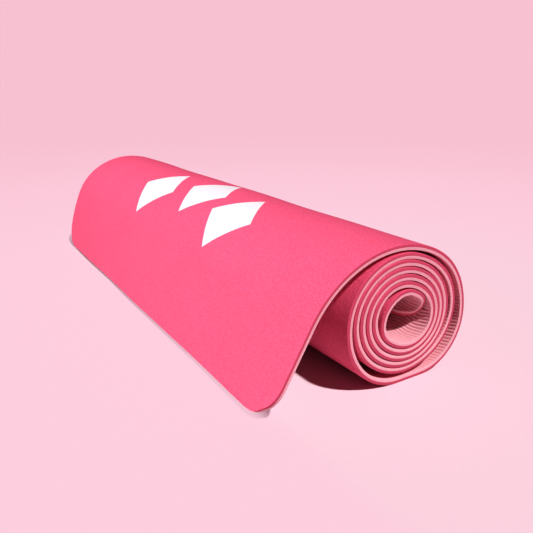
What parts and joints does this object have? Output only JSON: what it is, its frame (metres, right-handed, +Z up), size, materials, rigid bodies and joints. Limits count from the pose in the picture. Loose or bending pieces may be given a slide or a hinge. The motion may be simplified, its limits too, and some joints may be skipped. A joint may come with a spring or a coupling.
{
  "type": "exercise mat",
  "caption": "Rolled foam exercise mat with a smooth face layer and a ribbed base layer, its outer turn loose and its free end lying over the roll as a flap.",
  "frame": {"origin": "centre of the bounding box, on the floor under the roll", "axes": "+X along the roll, +Z up, and the loose flap reaches the floor on the -Y side"},
  "size_m": [0.6148, 0.2194, 0.1283],
  "materials": {
    "face_foam": "matt, fine grain",
    "base_foam": "matt, ribbed"
  },
  "bodies": {
    "roll": {"roll_face_layer": "face_foam", "roll_base_layer": "base_foam"},
    "turn_01": {"turn_face_01": "face_foam", "turn_base_01": "base_foam"},
    "turn_02": {"turn_face_02": "face_foam", "turn_base_02": "base_foam"},
    "turn_03": {"turn_face_03": "face_foam", "turn_base_03": "base_foam"},
    "turn_04": {"turn_face_04": "face_foam", "turn_base_04": "base_foam"},
    "turn_05": {"turn_face_05": "face_foam", "turn_base_05": "base_foam"},
    "turn_06": {"turn_face_06": "face_foam", "turn_base_06": "base_foam"},
    "turn_07": {"turn_face_07": "face_foam", "turn_base_07": "base_foam"},
    "turn_08": {"turn_face_08": "face_foam", "turn_base_08": "base_foam"},
    "turn_09": {"turn_face_09": "face_foam", "turn_base_09": "base_foam"},
    "turn_10": {"turn_face_10": "face_foam", "turn_base_10": "base_foam"},
    "turn_11": {"turn_face_11": "face_foam", "turn_base_11": "base_foam"},
    "turn_12": {"turn_face_12": "face_foam", "turn_base_12": "base_foam"},
    "flap_01": {"flap_face_01": "face_foam", "flap_base_01": "base_foam"},
    "flap_02": {"flap_face_02": "face_foam", "flap_base_02": "base_foam"},
    "flap_03": {"flap_face_03": "face_foam", "flap_base_03": "base_foam"},
    "flap_04": {"flap_face_04": "face_foam", "flap_base_04": "base_foam"},
    "flap_05": {"flap_face_05": "face_foam", "flap_base_05": "base_foam"}
  },
  "joints": [
    {"name": "turn_01_bend", "type": "hinge", "parent": "roll", "child": "turn_01", "pos_m": [0, 0.059, 0], "axis": [-1, 0, 0], "range_deg": [0, 7.5]},
    {"name": "unroll", "type": "hinge", "parent": "turn_01", "child": "turn_02", "pos_m": [0, 0.07212, 0.00173], "axis": [-1, 0, 0], "range_deg": [0, 15]},
    {"name": "turn_03_bend", "type": "hinge", "parent": "turn_02", "child": "turn_03", "pos_m": [0, 0.08435, 0.00679], "axis": [-1, 0, 0], "range_deg": [0, 15]},
    {"name": "turn_04_bend", "type": "hinge", "parent": "turn_03", "child": "turn_04", "pos_m": [0, 0.09485, 0.01485], "axis": [-1, 0, 0], "range_deg": [0, 15]},
    {"name": "turn_05_bend", "type": "hinge", "parent": "turn_04", "child": "turn_05", "pos_m": [0, 0.1029, 0.02535], "axis": [-1, 0, 0], "range_deg": [0, 15]},
    {"name": "turn_06_bend", "type": "hinge", "parent": "turn_05", "child": "turn_06", "pos_m": [0, 0.10797, 0.03758], "axis": [-1, 0, 0], "range_deg": [0, 15]},
    {"name": "turn_07_bend", "type": "hinge", "parent": "turn_06", "child": "turn_07", "pos_m": [0, 0.1097, 0.0507], "axis": [-1, 0, 0], "range_deg": [0, 15]},
    {"name": "turn_08_bend", "type": "hinge", "parent": "turn_07", "child": "turn_08", "pos_m": [0, 0.10718, 0.06977], "axis": [-1, 0, 0], "range_deg": [0, 15]},
    {"name": "turn_09_bend", "type": "hinge", "parent": "turn_08", "child": "turn_09", "pos_m": [0, 0.09982, 0.08755], "axis": [-1, 0, 0], "range_deg": [0, 15]},
    {"name": "turn_10_bend", "type": "hinge", "parent": "turn_09", "child": "turn_10", "pos_m": [0, 0.08811, 0.10281], "axis": [-1, 0, 0], "range_deg": [0, 15]},
    {"name": "turn_11_bend", "type": "hinge", "parent": "turn_10", "child": "turn_11", "pos_m": [0, 0.07285, 0.11453], "axis": [-1, 0, 0], "range_deg": [0, 15]},
    {"name": "turn_12_bend", "type": "hinge", "parent": "turn_11", "child": "turn_12", "pos_m": [0, 0.04808, 0.12479], "axis": [-1, 0, 0], "range_deg": [0, 15]},
    {"name": "flap_lift", "type": "hinge", "parent": "turn_12", "child": "flap_01", "pos_m": [0, 0.0215, 0.12829], "axis": [-1, 0, 0], "range_deg": [0, 15]},
    {"name": "flap_02_bend", "type": "hinge", "parent": "flap_01", "child": "flap_02", "pos_m": [0, -0.00509, 0.12479], "axis": [-1, 0, 0], "range_deg": [0, 15]},
    {"name": "flap_03_bend", "type": "hinge", "parent": "flap_02", "child": "flap_03", "pos_m": [0, -0.02985, 0.11453], "axis": [-1, 0, 0], "range_deg": [0, 15]},
    {"name": "flap_04_bend", "type": "hinge", "parent": "flap_03", "child": "flap_04", "pos_m": [0, -0.05112, 0.09821], "axis": [-1, 0, 0], "range_deg": [0, 15]},
    {"name": "flap_05_bend", "type": "hinge", "parent": "flap_04", "child": "flap_05", "pos_m": [0, -0.06745, 0.07694], "axis": [-1, 0, 0], "range_deg": [0, 7.5]}
  ],
  "couplings": [
    {"joint": "turn_01_bend", "follows": "unroll", "ratio": 0.5},
    {"joint": "turn_03_bend", "follows": "unroll", "ratio": 1},
    {"joint": "turn_04_bend", "follows": "unroll", "ratio": 1},
    {"joint": "turn_05_bend", "follows": "unroll", "ratio": 1},
    {"joint": "turn_06_bend", "follows": "unroll", "ratio": 1},
    {"joint": "turn_07_bend", "follows": "unroll", "ratio": 1},
    {"joint": "turn_08_bend", "follows": "unroll", "ratio": 1},
    {"joint": "turn_09_bend", "follows": "unroll", "ratio": 1},
    {"joint": "turn_10_bend", "follows": "unroll", "ratio": 1},
    {"joint": "turn_11_bend", "follows": "unroll", "ratio": 1},
    {"joint": "turn_12_bend", "follows": "unroll", "ratio": 1},
    {"joint": "flap_02_bend", "follows": "flap_lift", "ratio": 1},
    {"joint": "flap_03_bend", "follows": "flap_lift", "ratio": 1},
    {"joint": "flap_04_bend", "follows": "flap_lift", "ratio": 1},
    {"joint": "flap_05_bend", "follows": "flap_lift", "ratio": 0.5}
  ]
}
